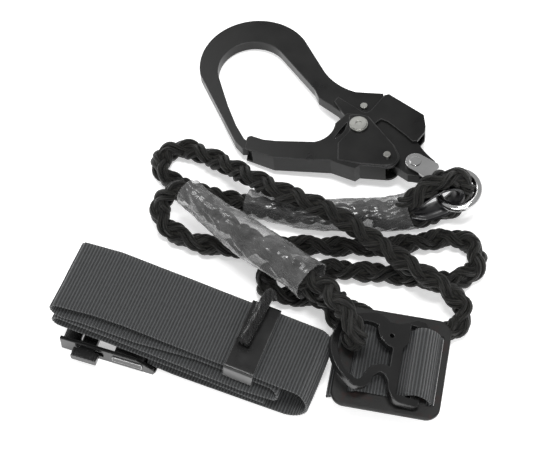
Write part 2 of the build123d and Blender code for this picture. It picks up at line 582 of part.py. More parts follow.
# ================================================================ slide-lock buckle
BUCKLE_L = 64.0
BUCKLE_W = 60.0
BUCKLE_H = 13.0
FRAME_T = 2.2
SLIDE_X = 19.0
SLIDE_Z = 7.2
SLIDE_TRAVEL = 6.0
ANCHOR_X = 46.0
END_PLANE = Plane(origin=BUCKLE.origin, x_dir=BUCKLE.x_dir, z_dir=-BUCKLE.y_dir)
with BuildPart() as buckle_frame:
    with BuildSketch(BUCKLE.offset(0.2)):
        with Locations((BUCKLE_L / 2, BUCKLE_W / 2)):
            RectangleRounded(BUCKLE_L, BUCKLE_W, 3.0)
            with Locations((-4.0, 0)):
                RectangleRounded(34.0, BUCKLE_W - 14.0, 3.0, mode=Mode.SUBTRACT)
    extrude(amount=FRAME_T)
    for flange_y in (0.0, BUCKLE_W - FRAME_T):
        with BuildSketch(END_PLANE.offset(-flange_y - FRAME_T)):
            with BuildLine():
                Polyline((1.0, 0.2), (1.0, BUCKLE_H), (52.0, BUCKLE_H), (BUCKLE_L - 1.0, 6.0),
                         (BUCKLE_L - 1.0, 0.2), (1.0, 0.2))
            make_face()
            with Locations((SLIDE_X + SLIDE_TRAVEL / 2, SLIDE_Z)):
                RectangleRounded(SLIDE_TRAVEL + 10.2, 5.4, 1.2, mode=Mode.SUBTRACT)
            with Locations((ANCHOR_X, 7.0)):
                RectangleRounded(20.0, 5.2, 1.0, mode=Mode.SUBTRACT)
        extrude(amount=FRAME_T)
save(buckle_frame.part, "buckle_frame")

with BuildPart() as slide_bar:
    with BuildSketch(END_PLANE.offset(7.0)):
        with Locations((SLIDE_X, SLIDE_Z)):
            RectangleRounded(10.0, 5.2, 1.0)
    extrude(amount=-BUCKLE_W - 14.0)
    # a wider serrated tab outside each flange
    for tab_y in (1.2, -BUCKLE_W - 1.2 - 6.0):
        with BuildSketch(END_PLANE.offset(tab_y)):
            with Locations((SLIDE_X, SLIDE_Z)):
                RectangleRounded(17.0, 5.8, 1.2)
                with GridLocations(2.6, 1, 6, 1):
                    with Locations((0, 2.9)):
                        Rectangle(1.0, 1.2, mode=Mode.SUBTRACT)
        extrude(amount=6.0)
save(slide_bar.part, "slide_bar")

with BuildPart() as anchor_bar:
    with BuildSketch(END_PLANE.offset(0.8)):
        with Locations((ANCHOR_X, 7.0)):
            RectangleRounded(20.0, 5.2, 1.0)
    extrude(amount=-BUCKLE_W - 1.6)
save(anchor_bar.part, "anchor_bar")

# ---------------------------------------------------------------- rivets and slide spring
with BuildPart() as buckle_rivets:
    for side_y in (9.0, BUCKLE_W - 9.0):
        with BuildSketch(BUCKLE.offset(0.2 + FRAME_T)):
            with Locations((BUCKLE_L - 7.0, side_y)):
                Circle(2.4)
        extrude(amount=1.0, taper=15)
save(buckle_rivets.part, "buckle_rivets")

SPRING_START = SLIDE_X + 5.4
SPRING_ROOM = ANCHOR_X - 10.4 - SPRING_START
TURNS = 5
spring_points = []
for step in range(TURNS * 6 + 1):
    angle = math.radians(60 * step)
    spring_points.append(BUCKLE.from_local_coords((SPRING_START + SPRING_ROOM * step / (TURNS * 6),
                                                   BUCKLE_W / 2 + 2.0 * math.cos(angle),
                                                   SLIDE_Z + 2.0 * math.sin(angle))))
save(cord_along(spring_points, 0.3), "slide_spring")
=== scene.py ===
import math

import bmesh
import bpy
import numpy as np
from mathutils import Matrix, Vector, noise


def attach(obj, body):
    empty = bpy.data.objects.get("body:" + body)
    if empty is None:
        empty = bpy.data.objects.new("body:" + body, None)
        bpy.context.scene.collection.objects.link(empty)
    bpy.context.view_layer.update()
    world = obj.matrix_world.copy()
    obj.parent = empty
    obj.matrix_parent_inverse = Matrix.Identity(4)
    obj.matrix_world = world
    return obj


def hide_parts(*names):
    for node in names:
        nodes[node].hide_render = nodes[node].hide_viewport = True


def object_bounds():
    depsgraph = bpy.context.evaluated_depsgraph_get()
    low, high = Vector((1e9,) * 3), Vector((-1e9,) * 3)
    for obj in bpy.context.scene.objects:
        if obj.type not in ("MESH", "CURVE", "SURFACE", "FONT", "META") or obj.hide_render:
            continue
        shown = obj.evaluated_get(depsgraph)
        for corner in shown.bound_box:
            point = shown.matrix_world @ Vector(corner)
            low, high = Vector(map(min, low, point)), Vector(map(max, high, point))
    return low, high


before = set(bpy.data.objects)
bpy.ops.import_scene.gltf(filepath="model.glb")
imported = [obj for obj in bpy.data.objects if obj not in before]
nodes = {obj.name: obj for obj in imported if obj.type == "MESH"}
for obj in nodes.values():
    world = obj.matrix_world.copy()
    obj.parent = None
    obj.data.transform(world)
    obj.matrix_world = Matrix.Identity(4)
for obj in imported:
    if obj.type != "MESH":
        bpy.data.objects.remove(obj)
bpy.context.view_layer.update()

MM = 0.001
# every place below is in mm, in the laid-out set's own frame, before the set is centred over the origin
CENTRING = np.array((-1.07, -1.219, -0.2))


# ---------------------------------------------------------------- lines in space
ARC_STEP = 0.5


def unit(v):
    """The vector's direction, as a vector of length 1."""
    return v / np.linalg.norm(v)


def lengths(p):
    """Distance along the line at each of its points."""
    return np.concatenate([[0], np.cumsum(np.linalg.norm(np.diff(p, axis=0), axis=1))])


def resample(p, step):
    """The same line with its points about `step` mm apart."""
    d = lengths(p)
    n = max(2, int(round(d[-1] / step)))
    s = np.linspace(0, d[-1], n + 1)
    return np.stack([np.interp(s, d, p[:, c]) for c in range(3)], 1)


def arc_points(start, end, way):
    """Points after start, up to end, on the circular arc that leaves start in the direction `way`."""
    chord = end - start
    length = np.linalg.norm(chord)
    half = math.acos(min(1.0, unit(chord).dot(way)))
    n = max(2, int(length / ARC_STEP))
    if half < 1e-4:
        return [start + chord * i / n for i in range(1, n + 1)]
    side = unit(chord - way * chord.dot(way))
    radius = length / (2 * math.sin(half))
    turns = [2 * half * i / n for i in range(1, n + 1)]
    return [start + radius * (math.sin(t) * way + (1 - math.cos(t)) * side) for t in turns]


def smooth_line(points, step=1.5):
    """Points every `step` mm along the smooth line of arcs through the given points."""
    pts = [np.array(p, float) for p in points]
    ways = []
    for a, b, c in zip(pts, pts[1:], pts[2:]):
        back, ahead = b - a, c - b
        lb, la = np.linalg.norm(back), np.linalg.norm(ahead)
        ways.append(unit(back * (la / lb) + ahead * (lb / la)))
    first, last = unit(pts[1] - pts[0]), unit(pts[-1] - pts[-2])
    ways.insert(0, unit(first * (2 * ways[0].dot(first)) - ways[0]))
    ways.append(unit(last * (2 * ways[-1].dot(last)) - ways[-1]))
    out = [pts[0]]
    for start, end, w1, w2 in zip(pts, pts[1:], ways, ways[1:]):
        chord = end - start
        spread = 1 - w1.dot(w2)
        lean = chord.dot(w1 + w2)
        if spread < 1e-6:
            reach = chord.dot(chord) / (2 * lean)
        else:
            reach = (-lean + math.sqrt(lean ** 2 + 2 * spread * chord.dot(chord))) / (2 * spread)
        k1, k2 = start + w1 * reach, end - w2 * reach
        mid = (k1 + k2) / 2
        out += arc_points(start, mid, w1)
        out += arc_points(mid, end, unit(k2 - k1))
    return resample(np.array(out), step)


def carried_frames(p, start=(0, 0, 1)):
    """Tangent, normal and side at each point, with the normal carried along without twist."""
    t = np.gradient(p, axis=0)
    t /= np.linalg.norm(t, axis=1)[:, None]
    n = np.array(start, float)
    if abs(n.dot(t[0])) > 0.9:
        n = np.array((1.0, 0, 0))
    n = unit(n - t[0] * n.dot(t[0]))
    ns = [n]
    for i in range(1, len(p)):
        n = ns[-1]
        v1 = p[i] - p[i - 1]
        c1 = v1.dot(v1)
        if c1 < 1e-12:
            ns.append(n)
            continue
        rl = n - (2 / c1) * v1.dot(n) * v1
        tl = t[i - 1] - (2 / c1) * v1.dot(t[i - 1]) * v1
        v2 = t[i] - tl
        c2 = v2.dot(v2)
        n = rl if c2 < 1e-14 else rl - (2 / c2) * v2.dot(rl) * v2
        ns.append(unit(n - t[i] * n.dot(t[i])))
    ns = np.array(ns)
    return t, ns, np.cross(t, ns)


def ease(x, a, b):
    """0 before a, 1 after b, smooth between."""
    t = min(1.0, max(0.0, (x - a) / (b - a)))
    return t * t * (3 - 2 * t)


# ---------------------------------------------------------------- mesh building, in mm
def place(name, data):
    """Put a mesh, light or camera into the scene under its name."""
    ob = bpy.data.objects.new(name, data)
    bpy.context.scene.collection.objects.link(ob)
    return ob


def mesh_object(name, verts, faces, uvs):
    """A smooth mesh whose texture coordinates say how far along and how far round each point is."""
    me = bpy.data.meshes.new(name)
    me.from_pydata([tuple(v) for v in ((np.asarray(verts) + CENTRING) * MM)], [], faces)
    layer = me.uv_layers.new(name="along")
    layer.data.foreach_set("uv", np.array([uvs[i] for f in faces for i in f], float).ravel())
    me.polygons.foreach_set("use_smooth", [True] * len(me.polygons))
    me.update()
    return place(name, me)


def face_outwards(ob, weld=None):
    """Turn every face outwards, after joining points closer than `weld` metres."""
    bm = bmesh.new()
    bm.from_mesh(ob.data)
    if weld is not None:
        bmesh.ops.remove_doubles(bm, verts=bm.verts, dist=weld)
    bmesh.ops.recalc_face_normals(bm, faces=bm.faces)
    bm.to_mesh(ob.data)
    bm.free()


def swept_faces(rows, columns):
    """Faces of a closed section carried along a line, with a cap at each end."""
    faces = []
    for i in range(rows - 1):
        for k in range(columns):
            q, r = i * columns + k, i * columns + (k + 1) % columns
            faces.append((q, r, r + columns, q + columns))
    faces.append(tuple(range(columns)))
    faces.append(tuple((rows - 1) * columns + k for k in range(columns - 1, -1, -1)))
    return faces


def finish_piece(ob, material, body, node=None):
    """Give the piece its material, let it ride on its body and stand in for a CAD node."""
    ob.data.materials.append(material)
    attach(ob, body)
    if node is not None:
        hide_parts(node)


class Builder:
    """Collects tubes into one mesh."""

    def __init__(self):
        self.v, self.f, self.uv = [], [], []

    def tube(self, centre, radius, sides=8, start=(0, 0, 1)):
        """Add a round tube with flat ends along the centre line."""
        centre = np.asarray(centre, float)
        radius = np.broadcast_to(np.asarray(radius, float), (len(centre),))
        t, n, b = carried_frames(centre, start)
        s = lengths(centre)
        base = len(self.v)
        for i in range(len(centre)):
            for k in range(sides + 1):
                a = 2 * math.pi * k / sides
                self.v.append(centre[i] + radius[i] * (math.cos(a) * n[i] + math.sin(a) * b[i]))
                self.uv.append((s[i], k / sides))
        w = sides + 1
        for i in range(len(centre) - 1):
            for k in range(sides):
                q = base + i * w + k
                self.f.append((q, q + 1, q + w + 1, q + w))
        for i, order in ((0, -1), (len(centre) - 1, 1)):
            ring = [base + i * w + k for k in range(sides)]
            self.f.append(tuple(ring[::order]))

    def done(self, name):
        """The collected tubes as one object."""
        ob = mesh_object(name, self.v, self.f, self.uv)
        face_outwards(ob, weld=1e-7)
        return ob


# ---------------------------------------------------------------- procedural materials
def new_material(name):
    """A material with a principled surface, its node tree and that surface node."""
    m = bpy.data.materials.new(name)
    m.use_nodes = True
    nt = m.node_tree
    nt.nodes.clear()
    bsdf = nt.nodes.new("ShaderNodeBsdfPrincipled")
    out = nt.nodes.new("ShaderNodeOutputMaterial")
    nt.links.new(bsdf.outputs[0], out.inputs[0])
    return m, nt, bsdf


def add(nt, kind, **values):
    """A new node, with its inputs or its settings set by name."""
    n = nt.nodes.new(kind)
    for key, value in values.items():
        if key in n.inputs:
            n.inputs[key].default_value = value
        else:
            setattr(n, key, value)
    return n


def maths(nt, operation, first, second, third=None):
    """A maths node; each of its terms is a number or another node's output."""
    n = add(nt, "ShaderNodeMath", operation=operation)
    for slot, term in enumerate((first, second, third)):
        if isinstance(term, (int, float)):
            n.inputs[slot].default_value = term
        elif term is not None:
            nt.links.new(term, n.inputs[slot])
    return n.outputs[0]


def mixed(nt, amount, under, over):
    """The colour `under` covered with the plain colour `over` by `amount`."""
    mix = add(nt, "ShaderNodeMix", data_type="RGBA")
    nt.links.new(amount, mix.inputs[0])
    nt.links.new(under, mix.inputs[6])
    mix.inputs[7].default_value = (*over, 1)
    return mix.outputs[2]


def relief(nt, height, strength, distance, under=None):
    """A normal that follows the height as fine relief, over another normal if there is one."""
    n = add(nt, "ShaderNodeBump", Strength=strength, Distance=distance)
    nt.links.new(height, n.inputs["Height"])
    if under is not None:
        nt.links.new(under, n.inputs["Normal"])
    return n.outputs[0]


def softened(nt, radius):
    """A normal that rounds every edge to about this radius, in metres."""
    n = add(nt, "ShaderNodeBevel", Radius=radius)
    n.samples = 4
    return n.outputs[0]


def ramp(nt, source, low, high, a=0.3, b=0.7):
    """A colour from low at a to high at b."""
    r = nt.nodes.new("ShaderNodeValToRGB")
    r.color_ramp.elements[0].position = a
    r.color_ramp.elements[0].color = (*low, 1)
    r.color_ramp.elements[1].position = b
    r.color_ramp.elements[1].color = (*high, 1)
    nt.links.new(source, r.inputs[0])
    return r.outputs[0]


def number_ramp(nt, source, low, high, a=0.3, b=0.7):
    """A number from low at a to high at b."""
    r = nt.nodes.new("ShaderNodeMapRange")
    r.inputs["From Min"].default_value = a
    r.inputs["From Max"].default_value = b
    r.inputs["To Min"].default_value = low
    r.inputs["To Max"].default_value = high
    nt.links.new(source, r.inputs["Value"])
    return r.outputs[0]


def grain(nt, scale, detail=4.0):
    """Noise fixed to the object; its features are about 1 / scale metres wide."""
    tc = add(nt, "ShaderNodeTexCoord")
    n = add(nt, "ShaderNodeTexNoise", Scale=scale, Detail=detail)
    nt.links.new(tc.outputs["Object"], n.inputs["Vector"])
    return n.outputs[0]


def coated_metal(name, dark, light, rough, radius, metallic=0.0, spec=0.5, rubbed_edge_and_highlight=None, sides=None):
    """Metal or hard plastic with softened edges; its edges can be lighter, partly as rubbed paint and partly
    as a painted highlight, and its upright sides lighter as a painted reflection.
    """
    m, nt, bsdf = new_material(name)
    fine = grain(nt, 900.0)
    broad = grain(nt, 60.0, 6.0)
    colour = ramp(nt, broad, dark, light)
    # edges lighter in patches: partly rubbed paint, partly a painted highlight along the edges
    if rubbed_edge_and_highlight is not None:
        dot = add(nt, "ShaderNodeVectorMath", operation="DOT_PRODUCT")
        nt.links.new(add(nt, "ShaderNodeNewGeometry").outputs["Normal"], dot.inputs[0])
        nt.links.new(softened(nt, 0.0011), dot.inputs[1])
        edge = number_ramp(nt, dot.outputs["Value"], 1.0, 0.0, 0.80, 0.97)
        patches = number_ramp(nt, broad, 0.15, 1.0, 0.35, 0.6)
        colour = mixed(nt, maths(nt, "MULTIPLY", edge, patches), colour, rubbed_edge_and_highlight)
    # upright faces painted lighter: a painted reflection, not a colour of the metal
    if sides is not None:
        split = add(nt, "ShaderNodeSeparateXYZ")
        nt.links.new(add(nt, "ShaderNodeNewGeometry").outputs["Normal"], split.inputs[0])
        steep = maths(nt, "ABSOLUTE", split.outputs["Z"], None)
        colour = mixed(nt, number_ramp(nt, steep, 1.0, 0.0, 0.25, 0.6), colour, sides)
    nt.links.new(colour, bsdf.inputs["Base Color"])
    nt.links.new(number_ramp(nt, broad, *rough), bsdf.inputs["Roughness"])
    bsdf.inputs["Metallic"].default_value = metallic
    bsdf.inputs["Specular IOR Level"].default_value = spec
    nt.links.new(relief(nt, fine, 0.12, 0.0001, softened(nt, radius)), bsdf.inputs["Normal"])
    return m


# the lighter edge colours given below are partly rubbed paint and partly painted edge highlights
HOOK_BLACK = coated_metal("hook black", (0.003, 0.003, 0.003), (0.006, 0.006, 0.0058), (0.26, 0.4), 0.0008,
                          spec=0.24, rubbed_edge_and_highlight=(0.08, 0.08, 0.08))
RING_BLACK = coated_metal("plated black", (0.003, 0.003, 0.003), (0.006, 0.006, 0.006), (0.16, 0.26), 0.0012,
                          spec=0.45, rubbed_edge_and_highlight=(0.03, 0.03, 0.03))
# the keeper's upright sides are painted lighter as a painted reflection
KEEPER_BLACK = coated_metal("keeper black", (0.003, 0.003, 0.003), (0.006, 0.006, 0.006), (0.22, 0.36),
                            0.0011, spec=0.34, rubbed_edge_and_highlight=(0.2, 0.2, 0.2), sides=(0.09, 0.09, 0.09))
ZINC = coated_metal("zinc", (0.26, 0.26, 0.245), (0.36, 0.36, 0.34), (0.28, 0.45), 0.0004, metallic=1.0)
DULL_STEEL = coated_metal("dull steel", (0.05, 0.05, 0.05), (0.09, 0.09, 0.09), (0.3, 0.45), 0.0007,
                          metallic=0.8, rubbed_edge_and_highlight=(0.8, 0.8, 0.8))
CHROME = coated_metal("chrome", (0.46, 0.46, 0.46), (0.56, 0.56, 0.56), (0.06, 0.14), 0.0007, metallic=1.0)
WIRE = coated_metal("spring wire", (0.35, 0.35, 0.34), (0.5, 0.5, 0.48), (0.25, 0.4), 0.0001, metallic=1.0)
THIMBLE = coated_metal("thimble plastic", (0.006, 0.006, 0.007), (0.012, 0.012, 0.013), (0.2, 0.35), 0.0005,
                       spec=0.6)


def plate_plastic():
    """Matt black plastic with faint brown spots."""
    m, nt, bsdf = new_material("back plate plastic")
    spots = grain(nt, 140.0, 8.0)
    fine = grain(nt, 1500.0, 3.0)
    black = ramp(nt, fine, (0.004, 0.004, 0.004), (0.009, 0.009, 0.0085))
    brown = number_ramp(nt, spots, 0.0, 0.7, 0.56, 0.68)
    nt.links.new(mixed(nt, brown, black, (0.016, 0.006, 0.005)), bsdf.inputs["Base Color"])
    bsdf.inputs["Specular IOR Level"].default_value = 0.3
    nt.links.new(number_ramp(nt, spots, 0.42, 0.6), bsdf.inputs["Roughness"])
    nt.links.new(relief(nt, fine, 0.35, 0.0003, softened(nt, 0.0008)), bsdf.inputs["Normal"])
    return m


def along_and_round(nt):
    """How far along and how far round or across the piece a point is."""
    uv = add(nt, "ShaderNodeUVMap", uv_map="along")
    split = add(nt, "ShaderNodeSeparateXYZ")
    nt.links.new(uv.outputs[0], split.inputs[0])
    return split.outputs["X"], split.outputs["Y"]


def wave(nt, shape, x, per_x, y, per_y):
    """A sine or cosine that turns per_x radians per mm along and per_y radians per unit across."""
    return maths(nt, shape, maths(nt, "MULTIPLY_ADD", y, per_y, maths(nt, "MULTIPLY", x, per_x)), None)


def strand_material(name, low, high, twist, yarns, rough, sheen):
    """Yarns that run along each strand and turn `twist` times in 10 mm; the yarn crests are painted lighter
    and the grooves between them darker, as painted highlight and shade.
    """
    m, nt, bsdf = new_material(name)
    x, y = along_and_round(nt)
    yarn = wave(nt, "SINE", x, 2 * math.pi * twist / 10.0, y, 2 * math.pi * yarns)
    fuzz = number_ramp(nt, grain(nt, 2600.0, 3.0), -1.0, 1.0)
    height = maths(nt, "ADD", yarn, fuzz)
    nt.links.new(relief(nt, height, 0.9, 0.0004), bsdf.inputs["Normal"])
    # colour follows the yarns: painted highlight on their crests, painted shade in the grooves, over random
    # tone
    relief_shade_and_tone = maths(nt, "MULTIPLY_ADD", yarn, 0.25, grain(nt, 220.0, 4.0))
    nt.links.new(ramp(nt, relief_shade_and_tone, low, high, 0.3, 0.72), bsdf.inputs["Base Color"])
    bsdf.inputs["Roughness"].default_value = rough
    bsdf.inputs["Specular IOR Level"].default_value = 0.35
    bsdf.inputs["Sheen Weight"].default_value = sheen
    bsdf.inputs["Sheen Roughness"].default_value = 0.4
    return m


def webbing_material(name, low, high):
    """Ribbed webbing: a rib across the strap every 2 mm, broken into small herringbone stitches; the rib
    crests are painted lighter and the troughs darker, as painted highlight and shade.
    """
    m, nt, bsdf = new_material(name)
    x, y = along_and_round(nt)
    per_rib = math.pi
    per_stitch = 2 * math.pi / 1.1
    rib = wave(nt, "COSINE", x, per_rib, y, 0.0)
    stitch = wave(nt, "SINE", x, per_rib, y, per_stitch)
    back_stitch = wave(nt, "SINE", x, -per_rib, y, per_stitch)
    height = maths(nt, "MULTIPLY_ADD", maths(nt, "MULTIPLY", stitch, back_stitch), 0.5, rib)
    nt.links.new(relief(nt, height, 0.8, 0.00022), bsdf.inputs["Normal"])
    fibre = grain(nt, 900.0, 3.0)
    # colour follows the ribs: painted highlight on the crests, painted shade in the troughs, over random
    # fibre tone
    relief_shade_and_tone = maths(nt, "MULTIPLY_ADD", height, 0.2, number_ramp(nt, fibre, 0.42, 0.58))
    nt.links.new(ramp(nt, relief_shade_and_tone, low, high), bsdf.inputs["Base Color"])
    nt.links.new(number_ramp(nt, fibre, 0.5, 0.68), bsdf.inputs["Roughness"])
    bsdf.inputs["Specular IOR Level"].default_value = 0.4
    bsdf.inputs["Sheen Weight"].default_value = 0.2
    return m


def clear_film(name, tint, least, most):
    """Wrinkled clear film: see-through where it is seen square on, milky where it is seen edge-on."""
    m, nt, film = new_material(name)
    film.inputs["Base Color"].default_value = (*tint, 1)
    film.inputs["Roughness"].default_value = 0.2
    film.inputs["Specular IOR Level"].default_value = 1.0
    film.inputs["Coat Weight"].default_value = 1.0
    film.inputs["Coat Roughness"].default_value = 0.13
    wrinkles = relief(nt, grain(nt, 95.0, 0.5), 0.6, 0.0022)
    nt.links.new(wrinkles, film.inputs["Normal"])
    nt.links.new(wrinkles, film.inputs["Coat Normal"])
    facing = add(nt, "ShaderNodeLayerWeight", Blend=0.35)
    nt.links.new(wrinkles, facing.inputs["Normal"])
    edge_on = number_ramp(nt, facing.outputs["Facing"], least, most, 0.05, 0.9)
    patches = number_ramp(nt, grain(nt, 90.0, 3.0), 0.55, 1.25)
    clear = add(nt, "ShaderNodeBsdfTransparent")
    clear.inputs[0].default_value = (0.87, 0.87, 0.87, 1)
    mix = add(nt, "ShaderNodeMixShader")
    nt.links.new(maths(nt, "MULTIPLY", edge_on, patches), mix.inputs[0])
    nt.links.new(clear.outputs[0], mix.inputs[1])
    nt.links.new(film.outputs[0], mix.inputs[2])
    out = next(n for n in nt.nodes if n.bl_idname == "ShaderNodeOutputMaterial")
    nt.links.new(mix.outputs[0], out.inputs[0])
    return m


PLATE = plate_plastic()
# the low and high colours of the rope, cord and webbing span painted shade in the grooves to painted
# highlight on the crests
ROPE = strand_material("rope yarn", (0.001, 0.001, 0.0009), (0.02, 0.0195, 0.0165), twist=0.8, yarns=6,
                       rough=0.4, sheen=0.02)
CORD = strand_material("cord yarn", (0.004, 0.004, 0.004), (0.015, 0.015, 0.015), twist=5.0, yarns=3,
                       rough=0.45, sheen=0.05)
WEBBING = webbing_material("ribbed webbing", (0.002, 0.0022, 0.0024), (0.052, 0.055, 0.057))
FILM = clear_film("clear sleeve film", (0.22, 0.22, 0.22), 0.16, 0.7)
BAND = clear_film("clear band film", (0.05, 0.05, 0.05), 0.06, 0.3)


# CAD nodes that are shown as they are
for material, shown in (
        (HOOK_BLACK, ("hook_body", "gate", "safety_lever")),
        (ZINC, ("main_pivot_rivet", "lever_stop_rivet", "gate_stop_rivet", "buckle_rivets")),
        (WIRE, ("gate_return_spring", "lever_return_spring", "slide_spring")),
        (CHROME, ("swivel_clevis", "clevis_pin", "swivel_eye")),
        (RING_BLACK, ("d_ring", "buckle_frame", "slide_bar")),
        (PLATE, ("back_plate",)),
        (KEEPER_BLACK, ("belt_keeper",)),
        (DULL_STEEL, ("anchor_bar",))):
    for node in shown:
        nodes[node].data.materials.clear()
        nodes[node].data.materials.append(material)

# ---------------------------------------------------------------- frames of the laid-out set
UP = np.array((0.0, 0.0, 1.0))


def hook_frame():
    """The hook's middle plane: it leans, because the rope's eye holds its swivel end up."""
    lean = math.radians(4.9)
    normal = np.array((-0.819 * math.sin(lean), 0.574 * math.sin(lean), math.cos(lean)))
    x_dir = unit(np.array((1.0, 0.0, 0.0)) - normal * normal[0])
    return np.array((58.1, 57.5, 16.0)), x_dir, np.cross(unit(normal), x_dir)


def hook_eye_frame():
    """Centre of the rope eye's round end, the direction it is pulled in and the direction it rises in."""
    origin, hook_x, hook_y = hook_frame()
    stem_angle = math.radians(-36.0)
    stem = hook_x * math.cos(stem_angle) + hook_y * math.sin(stem_angle)
    ring_centre = origin + hook_x * 36.5 - hook_y * 31.0 + stem * 33.5
    sleeve_mouth = np.array((92.0, -5.0, 17.0))
    pull = unit(ring_centre - sleeve_mouth)
    across = unit(stem - pull * stem.dot(pull))
    lift = np.cross(across, pull)
    lift = lift * math.copysign(1.0, lift[2])
    eye_lean = math.radians(75.0)
    return ring_centre - pull * 14.0, pull, lift * math.sin(eye_lean) - across * math.cos(eye_lean)


EYE_MID, PULL, EYE_UP = hook_eye_frame()
EYE_SIDE = np.cross(PULL, EYE_UP)
BOW_BAR = np.array((45.3, -98.5, 35.5))
BELT_EYE_DIR = np.array((0.473, -0.881, 0.0))
BELT_O = np.array((-120.88, -40.14, 0.0))
BELT_X = unit(np.array((0.932, -0.361, 0.0)))
BELT_W = np.cross(BELT_X, UP)
BACK_O = np.array((75.1, -114.8, 0.0))
BACK_X = unit(np.array((0.982, -0.190, 0.0)))
BACK_Y = np.cross(UP, BACK_X)


def eye_point(along, up):
    """A point in the plane of the hook-end eye."""
    return EYE_MID + PULL * along + EYE_UP * up


def belt_eye_point(along, up):
    """A point in the upright plane of the belt-end eye, from the bow bar that it wraps."""
    return BOW_BAR + BELT_EYE_DIR * along + UP * up


# ---------------------------------------------------------------- rope: one line from tail to tail
PLAIT = 43.0             # length in which a strand goes once round the rope
STRAND_R = 1.8
CORE = 4.2               # mean distance of the strands from the rope's middle
SWING = 1.35             # how far a strand dips and rises as it passes under and over
HEART_R = 3.3            # the filling inside the plait
TAPER = 16.0             # length over which each tail is thinned out

# both tails run on inside their sleeves, beside the standing part
hook_tail = [(66, -9.5, 8.8), (76, -8.5, 8.4)]
hook_eye = [
    eye_point(-19.5, -7.6), eye_point(-9.0, -11.2), eye_point(0.0, -13.3), eye_point(10.0, -12.6),
    eye_point(16.8, -7.2), eye_point(19.6, 0.8), eye_point(17.8, 8.6), eye_point(10.8, 14.6),
    eye_point(0.0, 16.0), eye_point(-10.5, 13.0), eye_point(-20.0, 8.4)]
sleeve_1 = [(80, -3.5, 15.2), (64, -3, 14.2), (47, -4.6, 12.6), (18, -4, 11.5), (-3, 0, 11.4)]
coils = [
    (-30, 8, 8.8), (-54, 16, 7.8), (-68, 24, 7.6), (-75.5, 34, 7.6), (-73, 44.5, 7.6), (-62, 49, 8.2),
    (-46, 43, 10), (-30, 31, 15), (-12, 14, 25), (4, 1, 31.5), (22, -8, 32.5), (40, -17, 31.5), (57, -29, 29),
    (75, -42, 26), (90, -53, 24.5), (103, -61, 22.5), (113, -67.5, 18.5), (120.5, -75.5, 13), (118, -85.5, 9),
    (104, -90, 7.7), (82, -88, 7.5), (64, -81, 7.5), (42, -69.5, 7.6), (20, -64.4, 7.6), (5, -62.6, 7.6),
    (-2.6, -59.2, 7.6), (-5.2, -52.8, 7.6), (-2.6, -46.4, 7.6), (5, -43, 7.6), (22, -43, 7.6), (50, -45, 7.6),
    (79, -48, 7.6), (101, -52, 7.6), (117, -52, 7.6), (129, -46, 7.6), (133, -36, 7.6), (129, -25, 7.6),
    (116, -20.5, 7.6), (99, -23, 7.6), (80, -26, 7.6), (50, -27, 7.6), (1, -26, 7.6), (-25, -28, 7.6),
    (-46, -25, 7.6), (-62, -18, 7.8), (-72.5, -9, 9.5), (-74, 1, 14.5), (-66, 7, 21), (-55, 2, 27)]
sleeve_2 = [
    (-43, -11, 30), (-30, -23, 31.5), (-15, -35, 31.7), (1, -47, 31.7), (14, -57, 31.5), (22.5, -64.5, 33)]
belt_eye = [
    belt_eye_point(-27.0, 3.6), belt_eye_point(-13.0, 10.3), belt_eye_point(-1.0, 12.9),
    belt_eye_point(8.2, 9.7), belt_eye_point(11.8, 1.2), belt_eye_point(8.2, -7.2),
    belt_eye_point(-1.0, -10.5), belt_eye_point(-12.0, -11.0), belt_eye_point(-27.0, -10.0)]
belt_tail = [(18, -64, 25.5), (6, -54.5, 26.5)]
axis = smooth_line(hook_tail + hook_eye + sleeve_1 + coils + sleeve_2 + belt_eye + belt_tail, 1.35)
along = lengths(axis)
t_axis, n_axis, b_axis = carried_frames(axis)


def taper(s):
    """How thick the rope is at s: the tails are thinned out inside the sleeves."""
    return (0.55 + 0.45 * ease(s, 0, TAPER)) * (0.55 + 0.45 * ease(along[-1] - s, 0, TAPER))


def plait_strand(way, pair, member):
    """Centre line and radius of one strand; `way` is the sense in which it goes round the rope."""
    line = []
    size = []
    for i, s in enumerate(along):
        turn = 2 * math.pi * s / PLAIT
        beat = math.cos(2 * turn)
        beat = beat * 1.35 / (1 + 0.35 * abs(beat))
        wobble = noise.noise(Vector((s * 0.05, pair * 7.1 + way * 3.3, member * 5.7)))
        r = (CORE + way * SWING * beat + 0.25 * wobble) * taper(s)
        spread = 0.455 + 0.04 * way * beat
        angle = way * turn + math.pi * pair + member * spread + 0.10 * wobble
        line.append(axis[i] + r * (math.cos(angle) * n_axis[i] + math.sin(angle) * b_axis[i]))
        size.append(STRAND_R * (0.97 + 0.06 * wobble) * taper(s))
    return line, size


rope = Builder()
for way in (1, -1):
    for pair in (0, 1):
        for member in (-1, 1):
            rope.tube(*plait_strand(way, pair, member), sides=9, start=n_axis[0])
rope.tube(axis, [HEART_R * taper(s) for s in along], sides=10, start=n_axis[0])
finish_piece(rope.done("rope_plait"), ROPE, "laid_set", "rope")


